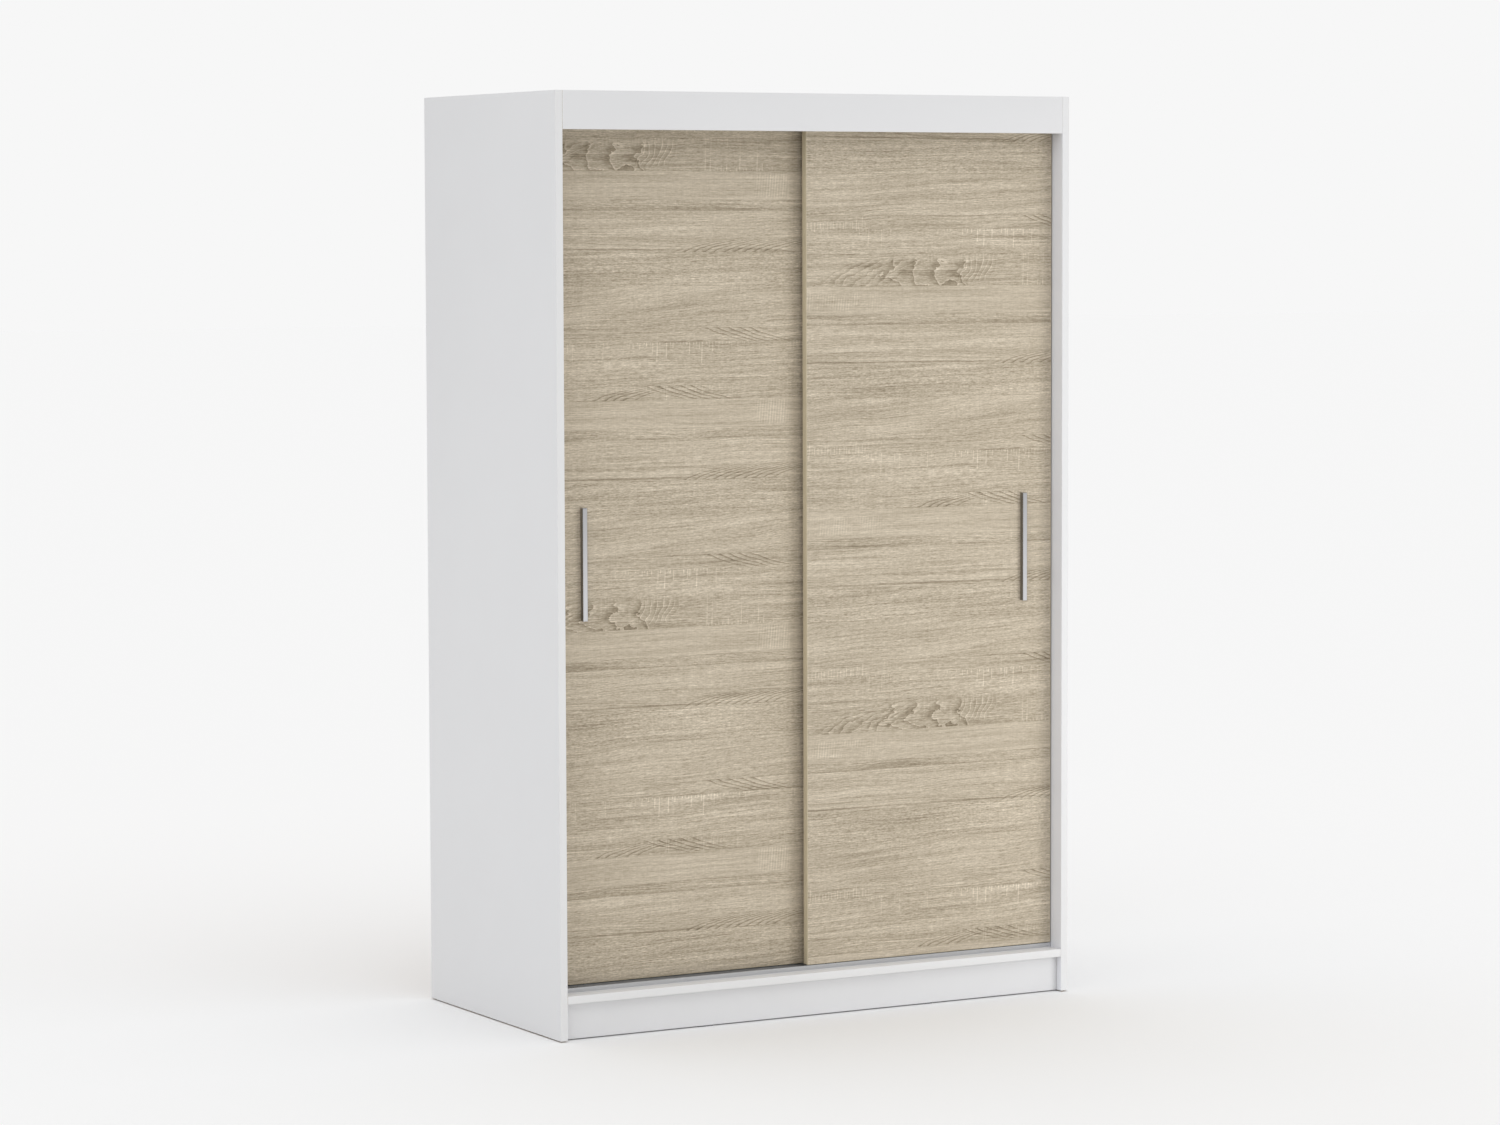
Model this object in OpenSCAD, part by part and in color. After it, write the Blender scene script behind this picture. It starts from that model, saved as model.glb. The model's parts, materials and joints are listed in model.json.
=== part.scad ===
// Sliding door wardrobe: a flat-packed board cabinet with two doors that roll on
// a twin bottom track and are guided at the head by a twin top track.
// Millimetres. The origin is on the floor under the middle of the cabinet,
// +Z is up, the doors face -Y and +X is to the right of someone facing them.

/* [Cabinet] */
// Overall width
cab_w = 1200; // [1100:10:1400]
// Overall height from the floor
cab_h = 1880; // [1800:10:2100]
// Overall depth, from the front edges to the back of the joint strip
cab_d = 600; // [580:10:650]
// Thickness of the cabinet boards
board_t = 16; // [16:1:18]
// Floor to the underside of the bottom panel
plinth_h = 75; // [70:5:100]
// How far the front plinth stands behind the front edges
plinth_setback = 16; // [10:1:30]
// Height of the fascia that hides the top track
fascia_h = 76; // [70:2:90]
// Height of the nail-on glides under the boards
glide_h = 2; // [2:0.5:5]
// Thickness of the fibreboard back
back_t = 3; // [3:0.5:4]

/* [Doors] */
// Thickness of the doors
door_t = 16; // [16:1:18]
// Front edges of the cabinet to the face of the front door
door_setback = 38; // [36:1:45]
// Clear space between the two door planes
door_gap = 12; // [12:0.5:16]
// Overlap of the closed doors in the middle
door_overlap = 24; // [20:2:40]
// Gap between a closed door and the side panel
door_side_gap = 2.5; // [1:0.5:3]
// Thickness of the edge band round each door
band_t = 1; // [0.5:0.5:2]

/* [Handles] */
// Length of a handle bar
handle_l = 226; // [210:2:260]
// Width of a handle bar
handle_w = 11; // [10:0.5:12]
// How far a handle stands proud of its door
handle_d = 10; // [8:0.5:10]
// Height of the middle of the handles above the floor
handle_z = 943; // [900:1:1000]
// Outer door edge to the centre line of the handle
handle_inset = 71; // [60:1:90]
// Distance between the two screws of a handle
handle_pitch = 192; // [160:32:192]

/* [Interior] */
// Front edges of the cabinet to the front edges of partition and shelves
shelf_setback = 105; // [105:1:120]
// Clear height above the hat shelf
hat_space = 300; // [260:10:350]
// Underside of the hat shelf to the axis of the hanging rail
rail_drop = 45; // [40:1:60]
// Outer radius of the hanging rail
rail_r = 12.5; // [12:0.5:13]

/* [Hidden] */
$fn = 48;
eps = 0.01;

// Board planes.
half_w = cab_w / 2;
in_half = half_w - board_t;
half_t = board_t / 2;
front_y = -cab_d / 2;
strip_flange = 1;
board_back_y = cab_d / 2 - strip_flange - back_t;
in_z0 = plinth_h + board_t;
in_z1 = cab_h - board_t;
shelf_front_y = front_y + shelf_setback;
fascia_back_y = front_y + board_t;

// Door planes. The left door runs in the rear channel, the right one in front.
door_w = in_half - door_side_gap + door_overlap / 2;
front_door_y = front_y + door_setback;
rear_door_y = front_door_y + door_t + door_gap;

// Tracks. A wheel runs astride a round bead in the floor of its channel.
track_wall = 1.5;
track_end_gap = 1;
track_l = 2 * (in_half - track_end_gap);
bottom_track_h = 9;
bottom_channel = 13;
bead_r = 2;
top_track_h = 18;
top_channel = 11;
wheel_plane = 9.5; // door face to the middle plane of its wheels and guides
channel_y = [front_door_y + wheel_plane, rear_door_y + wheel_plane];
track_mid_y = (channel_y[0] + channel_y[1]) / 2;
door_foot_gap = 1.5;
door_head_gap = 6;
door_z0 = in_z0 + bottom_track_h + door_foot_gap;
door_z1 = in_z1 - top_track_h - door_head_gap;
door_h = door_z1 - door_z0;

// Rollers, measured in the door's own frame where a height is above its lower edge.
fit_gap = 0.3;
wheel_r = 14.5;
wheel_w = 7;
groove_r = bead_r + fit_gap;
groove_axis_r = 15.3; // wheel axis to the axis of the bead
wheel_z = in_z0 + track_wall + groove_axis_r;
wheel_dish = [4.5, 10.5]; // inner and outer radius of the recess in both sides
wheel_dish_depth = 1;
axle_r = 2;
axle_gap = 0.05;
roller_inset = 60;
roller_w = 56;
roller_h = 44;
slot_side_gap = 1.5;
slot_w = 8;
slot_h = 23;
guide_w = 44;
guide_h = 30;
tongue_w = 24;
tongue_t = 9;
tongue_h = 15;
mortise_y = 3; // door face to the floor of the pockets in its back
flange_t = 1.5;
flange_lap = 14; // flange past each side of its pocket
hardware_x = [roller_inset, door_w - roller_inset];
roller_screw_dx = 35;
roller_screw_z = 22;
guide_screw_dx = 30;
guide_screw_drop = 15;
adjuster_r = 5;
adjuster_z = 34;
adjuster_depth = 4;
handle_counterbore = 2.6;
handle_screw_r = 2;
handle_screw_head_r = 3.8;
handle_screw_head_h = 2.4;
handle_bore_skin = 2; // metal left in front of the blind holes
handle_edge = 0.8;

// Stops. At the end of its travel a wheel's rim stands fit_gap off the top edge of a stop.
stop_h = 7;
stop_l = 30;
stop_w = 11;
rim_reach = sqrt(wheel_r * wheel_r - pow(groove_axis_r - stop_h, 2));
stop_x = in_half - door_side_gap - roller_inset + rim_reach + fit_gap * wheel_r / rim_reach;

// Fittings.
cam_r = 7.5;
cam_depth = 12.3;
cam_inset = 34;
cam_bolt_depth = 11; // thread of a cam dowel in the side board
pilot_gap = 0.05;
cam_bolt_r = [3.5, 2, 3.2]; // shank, neck and head of a cam dowel
dowel_r = 4;
dowel_depth = [10, 20]; // in the face of one board and the end of the other
pin_r = 2.5;
pin_depth = 9;
pin_collar_r = 4;
screw_r = 1.75;
screw_l = 13;
screw_head_r = 3.4;
screw_head_h = 1.6;
nail_r = 0.8;
nail_l = 19;
nail_head_r = 2.4;
nail_head_h = 0.6;
confirmat_r = [4.8, 3.4, 2.5]; // head, shoulder and thread
confirmat_z = [2.5, 13, 48]; // depths at which they end

// Cam joints at the left end, as [y, z, turn about X that points the cam out of its board].
top_cams = [[-190, cab_h - half_t, 180], [200, cab_h - half_t, 180]];
bottom_cams = [[-190, plinth_h + half_t, 180], [200, plinth_h + half_t, 180]];
fascia_cams = [[fascia_back_y - half_t, cab_h - fascia_h + 28, -90]];
front_plinth_y = front_y + plinth_setback;
plinth_front_cams = [[front_plinth_y + half_t, 50, -90]];
plinth_rear_cams = [[board_back_y - half_t, 50, 90]];
all_cams = concat(top_cams, bottom_cams, fascia_cams, plinth_front_cams, plinth_rear_cams);

// Wooden dowels at the left end, as [y, z].
top_dowels = [[-230, cab_h - half_t], [240, cab_h - half_t]];
bottom_dowels = [[-230, plinth_h + half_t], [240, plinth_h + half_t]];
fascia_dowels = [[fascia_back_y - half_t, cab_h - 25]];
plinth_front_dowels = [[front_plinth_y + half_t, 24]];
plinth_rear_dowels = [[board_back_y - half_t, 24]];
all_dowels = concat(top_dowels, bottom_dowels, fascia_dowels, plinth_front_dowels, plinth_rear_dowels);
brace_dowel_y = [-220, 0, 200];
fascia_top_dowel_x = [-400, 0, 400];

// Rows of fasteners.
confirmat_y = [-140, 240];
track_screw_x = [-480, -160, 160, 480];
wall_bracket_x = 450;
wall_bracket = [40, 32, 34, 2]; // width, two legs and thickness
wall_bracket_screw = 16; // back of the boards to the screw in the top panel
wall_hole_r = 2.75;
wall_hole_z = in_z1 - 18;
glide_w = 12;
glide_l = 36;
glide_end = 40; // end of a board to the middle of its glide
plinth_glide_x = 260;
side_nail_z = [for (i = [0:8]) 130 + i * (cab_h - 190) / 8];
end_nail_x = [-420, -140, 140, 420];
end_nail_z = [plinth_h + half_t, cab_h - half_t];

// Shelves. The left bay has four equal shelves, the right one a hat shelf and the rail.
shelf_gap = 1.5;
shelf_count = 4;
bay_h = (in_z1 - in_z0 - shelf_count * board_t) / (shelf_count + 1);
function shelf_z(i) = in_z0 + i * bay_h + (i - 1) * board_t;
hat_shelf_z = in_z1 - hat_space - board_t;
shelf_pin_y = [-150, 250];
rail_y = (shelf_front_y + board_back_y) / 2;
rail_z = hat_shelf_z - rail_drop;
rail_wall = 1;
rail_end_gap = 0.2;
rail_slip = 0.05;
cup_wall = 2.5;
cup_l = 14;
bracket_plate = 3;
bracket_w = 26;
bracket_h = 56;
rail_screw_l = 15;
rail_screw_dz = 21;
strip_w = 20;
strip_web = 2;
strip_end_gap = 0.5;
sheet_end_gap = 4;
sheet_side_gap = 2;
shelf_back_gap = 2;

WHITE = "#f2f2f0";
OAK = "#c3b294";
SILVER = "#c9cacb";
STEEL = "#a9abad";
NYLON = "#e6e6e2";
DARK = "#3a3a3c";

// ---------------------------------------------------------------- helpers

module box(lo, hi) translate(lo) cube([hi[0] - lo[0], hi[1] - lo[1], hi[2] - lo[2]]);

// A cylinder along +X, +Y or -Y from a point.
module along_x(r, x0, x1) translate([x0, 0, 0]) rotate([0, 90, 0]) cylinder(r = r, h = x1 - x0);
module along_y(r, y0, y1) translate([0, y0, 0]) rotate([-90, 0, 0]) cylinder(r = r, h = y1 - y0);

// Both ends of the cabinet, with local +X pointing into the board that is joined.
module at_ends(joints)
    for (end = [0, 1]) mirror([end, 0, 0])
        for (j = joints)
            translate([-in_half, j[0], j[1]]) rotate([is_undef(j[2]) ? 0 : j[2], 0, 0]) children();

// A door's own frame: x from its outer edge, y back from its face, z from its lower edge.
module on_door(side)
    if (side == "left")
        translate([-in_half + door_side_gap, rear_door_y, door_z0]) children();
    else
        translate([in_half - door_side_gap, front_door_y, door_z0]) mirror([1, 0, 0]) children();

// Pan-head screw from the surface it clamps, driven along -Z, with its head above z = 0.
module pan_screw(length, r = screw_r, head_r = screw_head_r, head_h = screw_head_h)
    union() {
        translate([0, 0, -length]) cylinder(r = r, h = length);
        difference() {
            cylinder(r = head_r, h = head_h);
            cross_recess(head_r * 1.1, head_h / 2, head_h);
        }
    }

// Cross recess cut from z = top down by depth.
module cross_recess(span, depth, top)
    for (turn = [0, 90]) rotate([0, 0, turn])
        translate([-span / 2, -span / 10, top - depth]) cube([span, span / 5, depth + 1]);

// ---------------------------------------------------------------- joints between boards

module cam_pocket() {
    translate([cam_inset, 0, half_t - cam_depth]) cylinder(r = cam_r, h = cam_depth + 1);
    along_x(cam_bolt_r[0], -eps, cam_inset);
}

module cam_disc()
    difference() {
        translate([cam_inset, 0, half_t - cam_depth]) cylinder(r = cam_r, h = cam_depth);
        along_x(cam_bolt_r[0] + 0.1, cam_inset - cam_r - 1, cam_inset + 3);
        translate([cam_inset, 0, 0]) cross_recess(7, 2, half_t);
    }

module cam_dowel()
    union() {
        along_x(pin_r, -cam_bolt_depth, eps);
        along_x(cam_bolt_r[0], 0, cam_inset - cam_r - 0.1);
        along_x(cam_bolt_r[1], cam_inset - cam_r - 0.2, cam_inset - 1);
        along_x(cam_bolt_r[2], cam_inset - 1.1, cam_inset + 2.5);
    }

module cam_pilots() at_ends(all_cams) along_x(pin_r + pilot_gap, -cam_bolt_depth, 1);
module dowel_pilots() at_ends(all_dowels) along_x(dowel_r, -dowel_depth[0], 1);
module dowel_bores(joints) at_ends(joints) along_x(dowel_r, -1, dowel_depth[1]);

module side_nail_holes()
    for (z = side_nail_z)
        translate([-half_w + half_t, 0, z]) along_y(nail_r, board_back_y - nail_l, cab_d);

module end_nail_holes(z)
    for (x = end_nail_x) translate([x, 0, z]) along_y(nail_r, board_back_y - nail_l, cab_d);

module confirmat(above)
    union() {
        translate([0, 0, -confirmat_z[0]]) cylinder(r = confirmat_r[0], h = confirmat_z[0] + above);
        for (i = [1, 2])
            translate([0, 0, -confirmat_z[i]])
                cylinder(r = confirmat_r[i], h = confirmat_z[i] - confirmat_z[i - 1] + eps);
    }

// Confirmat screws through the top and bottom panels into the ends of the partition.
module at_confirmats()
    for (y = confirmat_y) {
        translate([0, y, cab_h]) children();
        translate([0, y, plinth_h]) rotate([180, 0, 0]) children();
    }

module at_track_screws(z) for (x = track_screw_x) translate([x, track_mid_y, z]) children();

// Ends of the shelf pins, with local +X pointing out of the board into the bay.
module at_left_bay_pins(on_partition)
    for (i = [1:shelf_count], y = shelf_pin_y)
        translate([on_partition ? -half_t : -in_half, y, shelf_z(i) - pin_r])
            mirror([on_partition ? 1 : 0, 0, 0]) children();

module at_right_bay_pins(on_partition)
    for (y = shelf_pin_y)
        translate([on_partition ? half_t : in_half, y, hat_shelf_z - pin_r])
            mirror([on_partition ? 0 : 1, 0, 0]) children();

// The two ends of the hanging rail, with local +X pointing along the rail.
module at_rail_end(inner)
    translate([inner ? half_t : in_half, rail_y, rail_z]) mirror([inner ? 0 : 1, 0, 0]) children();

module at_bracket_screws()
    for (s = [-1, 1]) translate([bracket_plate, 0, s * rail_screw_dz]) rotate([0, 90, 0]) children();

module rail_screw_bore() translate([0, 0, -rail_screw_l]) cylinder(r = screw_r, h = rail_screw_l + 1);

// Dowels between the fascia and the front edge of the top panel.
module at_fascia_top_dowels() for (x = fascia_top_dowel_x) translate([x, 0, cab_h - half_t]) children();

// ---------------------------------------------------------------- boards

module side_board()
    difference() {
        box([-half_w, front_y, glide_h], [-in_half, board_back_y, cab_h]);
        cam_pilots();
        dowel_pilots();
        side_nail_holes();
    }

module side_panel_left() color(WHITE)
    difference() {
        side_board();
        at_left_bay_pins(false) along_x(pin_r, -pin_depth, 1);
    }

module side_panel_right() color(WHITE)
    difference() {
        mirror([1, 0, 0]) side_board();
        at_right_bay_pins(false) along_x(pin_r, -pin_depth, 1);
        at_rail_end(false) at_bracket_screws() rail_screw_bore();
    }

module top_panel() color(WHITE)
    difference() {
        box([-in_half, fascia_back_y, in_z1], [in_half, board_back_y, cab_h]);
        at_ends(top_cams) cam_pocket();
        dowel_bores(top_dowels);
        end_nail_holes(cab_h - half_t);
        at_confirmats() confirmat(1);
        at_track_screws(in_z1 - 1) cylinder(r = screw_r, h = screw_l);
        at_fascia_top_dowels() along_y(dowel_r, fascia_back_y - 1, fascia_back_y + dowel_depth[1]);
        for (s = [-1, 1])
            translate([s * wall_bracket_x, board_back_y - wall_bracket_screw, in_z1 - 1])
                cylinder(r = screw_r, h = screw_l);
    }

module bottom_panel() color(WHITE)
    difference() {
        box([-in_half, front_y, plinth_h], [in_half, board_back_y, in_z0]);
        at_ends(bottom_cams) cam_pocket();
        dowel_bores(bottom_dowels);
        end_nail_holes(plinth_h + half_t);
        at_confirmats() confirmat(1);
        at_track_screws(in_z0 + track_wall - screw_l) cylinder(r = screw_r, h = screw_l);
        for (y = brace_dowel_y)
            translate([0, y, plinth_h - 1]) cylinder(r = dowel_r, h = dowel_depth[0] + 1);
    }

module fascia() color(WHITE)
    difference() {
        box([-in_half, front_y, cab_h - fascia_h], [in_half, fascia_back_y, cab_h]);
        at_ends(fascia_cams) cam_pocket();
        dowel_bores(fascia_dowels);
        at_fascia_top_dowels() along_y(dowel_r, fascia_back_y - dowel_depth[0], fascia_back_y + 1);
    }

module plinth(y, cams, dowels)
    difference() {
        box([-in_half, y, glide_h], [in_half, y + board_t, plinth_h]);
        at_ends(cams) cam_pocket();
        dowel_bores(dowels);
    }

module plinth_front() color(WHITE) plinth(front_plinth_y, plinth_front_cams, plinth_front_dowels);

module plinth_rear() color(WHITE) plinth(board_back_y - board_t, plinth_rear_cams, plinth_rear_dowels);

module plinth_brace() color(WHITE)
    difference() {
        box([-half_t, front_plinth_y + board_t, glide_h], [half_t, board_back_y - board_t, plinth_h]);
        for (y = brace_dowel_y)
            translate([0, y, plinth_h - dowel_depth[1]]) cylinder(r = dowel_r, h = dowel_depth[1] + 1);
    }

module partition() color(WHITE)
    difference() {
        box([-half_t, shelf_front_y, in_z0], [half_t, board_back_y - strip_flange, in_z1]);
        at_confirmats() confirmat(1);
        at_left_bay_pins(true) along_x(pin_r, -pin_depth, 1);
        at_right_bay_pins(true) along_x(pin_r, -pin_depth, 1);
        at_rail_end(true) at_bracket_screws() rail_screw_bore();
    }

module shelf(x0, x1, z)
    box([x0 + shelf_gap, shelf_front_y, z], [x1 - shelf_gap, board_back_y - shelf_back_gap, z + board_t]);

module shelf_1() color(WHITE) shelf(-in_half, -half_t, shelf_z(1));
module shelf_2() color(WHITE) shelf(-in_half, -half_t, shelf_z(2));
module shelf_3() color(WHITE) shelf(-in_half, -half_t, shelf_z(3));
module shelf_4() color(WHITE) shelf(-in_half, -half_t, shelf_z(4));
module hat_shelf() color(WHITE) shelf(half_t, in_half, hat_shelf_z);

// ---------------------------------------------------------------- back

module back_sheet()
    difference() {
        box(
            [-half_w + sheet_side_gap, board_back_y, plinth_h + sheet_end_gap],
            [-strip_web / 2, board_back_y + back_t, cab_h - sheet_end_gap]
        );
        side_nail_holes();
        for (z = end_nail_z) end_nail_holes(z);
        translate([-wall_bracket_x, 0, wall_hole_z]) along_y(wall_hole_r, 0, cab_d);
    }

module back_panel_left() color(WHITE) back_sheet();
module back_panel_right() color(WHITE) mirror([1, 0, 0]) back_sheet();

// H-section that joins the two sheets behind the partition.
module back_joint_strip() color(NYLON)
    translate([0, 0, in_z0 + strip_end_gap]) linear_extrude(in_z1 - in_z0 - 2 * strip_end_gap) {
        translate([-strip_w / 2, board_back_y - strip_flange]) square([strip_w, strip_flange]);
        translate([-strip_web / 2, board_back_y - eps]) square([strip_web, back_t + 2 * eps]);
        translate([-strip_w / 2, board_back_y + back_t]) square([strip_w, strip_flange]);
    }

module nail()
    union() {
        along_y(nail_r, board_back_y - nail_l, board_back_y + back_t + eps);
        along_y(nail_head_r, board_back_y + back_t, board_back_y + back_t + nail_head_h);
    }

module back_nails() color(STEEL) {
    for (s = [-1, 1], z = side_nail_z) translate([s * (half_w - half_t), 0, z]) nail();
    for (x = end_nail_x, z = end_nail_z) translate([x, 0, z]) nail();
}

// ---------------------------------------------------------------- interior fittings

module hanging_rail() color(SILVER)
    translate([0, rail_y, rail_z]) difference() {
        along_x(rail_r, half_t + bracket_plate + rail_end_gap, in_half - bracket_plate - rail_end_gap);
        along_x(rail_r - rail_wall, 0, in_half);
    }

module rail_bracket()
    difference() {
        union() {
            translate([0, -bracket_w / 2, -bracket_h / 2]) cube([bracket_plate, bracket_w, bracket_h]);
            along_x(rail_r + cup_wall, 0, cup_l);
        }
        along_x(rail_r + rail_slip, bracket_plate, cup_l + 1);
        at_bracket_screws() rail_screw_bore();
    }

module rail_bracket_inner() color(SILVER) at_rail_end(true) rail_bracket();
module rail_bracket_outer() color(SILVER) at_rail_end(false) rail_bracket();

// Angle brackets under the top panel that take a screw into the wall.
module wall_brackets() color(STEEL)
    for (s = [-1, 1])
        translate([s * wall_bracket_x, board_back_y, in_z1]) difference() {
            union() {
                translate([-wall_bracket[0] / 2, -wall_bracket[1], -wall_bracket[3]])
                    cube([wall_bracket[0], wall_bracket[1], wall_bracket[3]]);
                translate([-wall_bracket[0] / 2, -wall_bracket[3], -wall_bracket[2]])
                    cube([wall_bracket[0], wall_bracket[3], wall_bracket[2] - eps]);
            }
            translate([0, -wall_bracket_screw, -wall_bracket[3] - 1])
                cylinder(r = screw_r, h = wall_bracket[3] + 2);
            translate([0, 0, wall_hole_z - in_z1]) along_y(wall_hole_r, -wall_bracket[3] - 1, 1);
        }

module glide()
    union() {
        straight = glide_l - glide_w;
        translate([-straight / 2, -glide_w / 2, 0]) cube([straight, glide_w, glide_h]);
        for (s = [-1, 1]) translate([s * straight / 2, 0, 0]) cylinder(r = glide_w / 2, h = glide_h);
    }

module glides() color(DARK) {
    for (s = [-1, 1], y = [front_y + glide_end, 0, board_back_y - glide_end])
        translate([s * (half_w - half_t), y, 0]) rotate([0, 0, 90]) glide();
    for (s = [-1, 1], y = [front_plinth_y + half_t, board_back_y - half_t])
        translate([s * plinth_glide_x, y, 0]) glide();
}

module shelf_pin()
    union() {
        along_x(pin_r, -pin_depth, pin_depth);
        difference() {
            along_x(pin_collar_r, 0, shelf_gap - 0.5);
            translate([-1, -pin_collar_r, pin_r]) cube([3, 2 * pin_collar_r, pin_collar_r]);
        }
    }

module shelf_pins() color(NYLON) {
    for (on_partition = [false, true]) {
        at_left_bay_pins(on_partition) shelf_pin();
        at_right_bay_pins(on_partition) shelf_pin();
    }
}

module cam_discs() color(STEEL) at_ends(all_cams) cam_disc();
module cam_dowels() color(STEEL) at_ends(all_cams) cam_dowel();

module wood_dowels() color(OAK) {
    at_ends(all_dowels) along_x(dowel_r, -dowel_depth[0], dowel_depth[1]);
    for (y = brace_dowel_y)
        translate([0, y, plinth_h - dowel_depth[1]])
            cylinder(r = dowel_r, h = dowel_depth[0] + dowel_depth[1]);
    at_fascia_top_dowels()
        along_y(dowel_r, fascia_back_y - dowel_depth[0], fascia_back_y + dowel_depth[1]);
}

module confirmat_screws() color(STEEL)
    at_confirmats() difference() {
        confirmat(0);
        cross_recess(5, 1.5, 0);
    }

module board_screws() color(STEEL) {
    at_track_screws(in_z0 + track_wall) pan_screw(screw_l);
    at_track_screws(in_z1 - track_wall) rotate([180, 0, 0]) pan_screw(screw_l);
    for (inner = [true, false]) at_rail_end(inner) at_bracket_screws() pan_screw(rail_screw_l);
    for (s = [-1, 1])
        translate([s * wall_bracket_x, board_back_y - wall_bracket_screw, in_z1 - wall_bracket[3]])
            rotate([180, 0, 0]) pan_screw(screw_l);
}

// ---------------------------------------------------------------- tracks

// Walls of a twin channel in the Y-Z plane, from z = 0 up to h.
module channel_walls(width, h)
    for (y = channel_y, s = [-1, 1])
        translate([y + s * (width + track_wall) / 2 - track_wall / 2, 0]) square([track_wall, h]);

module track_web(width)
    translate([channel_y[0] - width / 2 - track_wall, 0])
        square([channel_y[1] - channel_y[0] + width + 2 * track_wall, track_wall]);

// Extrudes a profile drawn in Y-Z along X, over the length between the sides.
module extrude_track()
    translate([-track_l / 2, 0, 0]) rotate([90, 0, 90]) linear_extrude(track_l) children();

module bottom_track() color(SILVER)
    translate([0, 0, in_z0]) difference() {
        extrude_track() union() {
            track_web(bottom_channel);
            channel_walls(bottom_channel, bottom_track_h);
            for (y = channel_y) intersection() {
                translate([y, track_wall]) circle(r = bead_r);
                translate([y - 5, track_wall - 0.5]) square([10, 5]);
            }
        }
        at_track_screws(-1) cylinder(r = screw_r, h = 5);
    }

module top_track() color(SILVER)
    translate([0, 0, in_z1]) difference() {
        mirror([0, 0, 1]) extrude_track() union() {
            track_web(top_channel);
            channel_walls(top_channel, top_track_h);
        }
        at_track_screws(-4) cylinder(r = screw_r, h = 5);
    }

// Blocks near both ends of each bottom channel, which the wheels stop against.
module track_stops() color(DARK)
    for (end = [0, 1], y = channel_y) mirror([end, 0, 0])
        translate([stop_x, y, in_z0 + track_wall]) difference() {
            translate([0, stop_w / 2, 0]) rotate([90, 0, 0]) linear_extrude(stop_w)
                polygon([
                    [0, 0],
                    [stop_l, 0],
                    [stop_l, stop_h / 2],
                    [stop_l - stop_h / 2, stop_h],
                    [0, stop_h],
                ]);
            along_x(bead_r, -1, stop_l + 1);
        }

// ---------------------------------------------------------------- doors, in the door's own frame

module pockets(grow = 0) {
    for (x = hardware_x) {
        translate([x - roller_w / 2, mortise_y, -1]) cube([roller_w, door_t, roller_h + 1]);
        translate([x - guide_w / 2, mortise_y, door_h - guide_h]) cube([guide_w, door_t, guide_h + 1]);
    }
}

module at_roller_screws(x)
    for (s = [-1, 1]) translate([x + s * roller_screw_dx, door_t, roller_screw_z]) children();

module at_guide_screws(x)
    for (s = [-1, 1]) translate([x + s * guide_screw_dx, door_t, door_h - guide_screw_drop]) children();

module at_handle_screws()
    for (s = [-1, 1]) translate([handle_inset, 0, handle_z - door_z0 + s * handle_pitch / 2]) children();

module door_board()
    difference() {
        box([band_t, 0, band_t], [door_w - band_t, door_t, door_h - band_t]);
        pockets();
        at_handle_screws() {
            along_y(handle_screw_r, -1, door_t);
            along_y(handle_screw_head_r + 0.2, door_t - handle_counterbore, door_t + 1);
        }
        for (x = hardware_x) {
            at_roller_screws(x) along_y(screw_r, flange_t - screw_l, 1);
            at_guide_screws(x) along_y(screw_r, flange_t - screw_l, 1);
        }
    }

module edge_band()
    difference() {
        box([0, 0, 0], [door_w, door_t, door_h]);
        box([band_t, -1, band_t], [door_w - band_t, door_t + 1, door_h - band_t]);
        pockets();
    }

module handle_bar()
    difference() {
        translate([handle_inset, 0, handle_z - door_z0 - handle_l / 2]) linear_extrude(handle_l)
            polygon([
                [-handle_w / 2, 0],
                [-handle_w / 2, -handle_d + handle_edge],
                [-handle_w / 2 + handle_edge, -handle_d],
                [handle_w / 2 - handle_edge, -handle_d],
                [handle_w / 2, -handle_d + handle_edge],
                [handle_w / 2, 0],
            ]);
        at_handle_screws() along_y(handle_screw_r, handle_bore_skin - handle_d, 1);
    }

module handle_screws()
    at_handle_screws() translate([0, door_t - handle_counterbore, 0]) rotate([-90, 0, 0])
        pan_screw(
            door_t - handle_counterbore + handle_d - handle_bore_skin - 0.5,
            handle_screw_r, handle_screw_head_r, handle_screw_head_h
        );

module roller_housing(x)
    difference() {
        union() {
            translate([x - roller_w / 2, mortise_y, 0]) cube([roller_w, door_t - mortise_y, roller_h]);
            translate([x - roller_w / 2 - flange_lap, door_t, 0])
                cube([roller_w + 2 * flange_lap, flange_t, roller_h]);
        }
        translate([x - wheel_r - slot_side_gap, wheel_plane - slot_w / 2, -1])
            cube([2 * (wheel_r + slot_side_gap), slot_w, slot_h + 1]);
        translate([x, 0, wheel_z - door_z0]) along_y(axle_r, mortise_y - 1, door_t + flange_t + 1);
        translate([x, 0, adjuster_z]) along_y(adjuster_r, door_t - adjuster_depth, door_t + flange_t + 1);
        at_roller_screws(x) along_y(screw_r, -1, flange_t + 1);
    }

module wheel(x)
    translate([x, wheel_plane, wheel_z - door_z0]) rotate([90, 0, 0]) difference() {
        translate([0, 0, -wheel_w / 2]) cylinder(r = wheel_r, h = wheel_w);
        rotate_extrude() translate([groove_axis_r, 0]) circle(r = groove_r);
        translate([0, 0, -wheel_w]) cylinder(r = axle_r + axle_gap, h = 2 * wheel_w);
        for (s = [0, 1]) mirror([0, 0, s])
            translate([0, 0, wheel_w / 2 - wheel_dish_depth]) difference() {
                cylinder(r = wheel_dish[1], h = wheel_dish_depth + 1);
                translate([0, 0, -1]) cylinder(r = wheel_dish[0], h = wheel_dish_depth + 3);
            }
    }

module axles()
    for (x = hardware_x)
        translate([x, 0, wheel_z - door_z0]) along_y(axle_r, mortise_y, door_t + flange_t);

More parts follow.
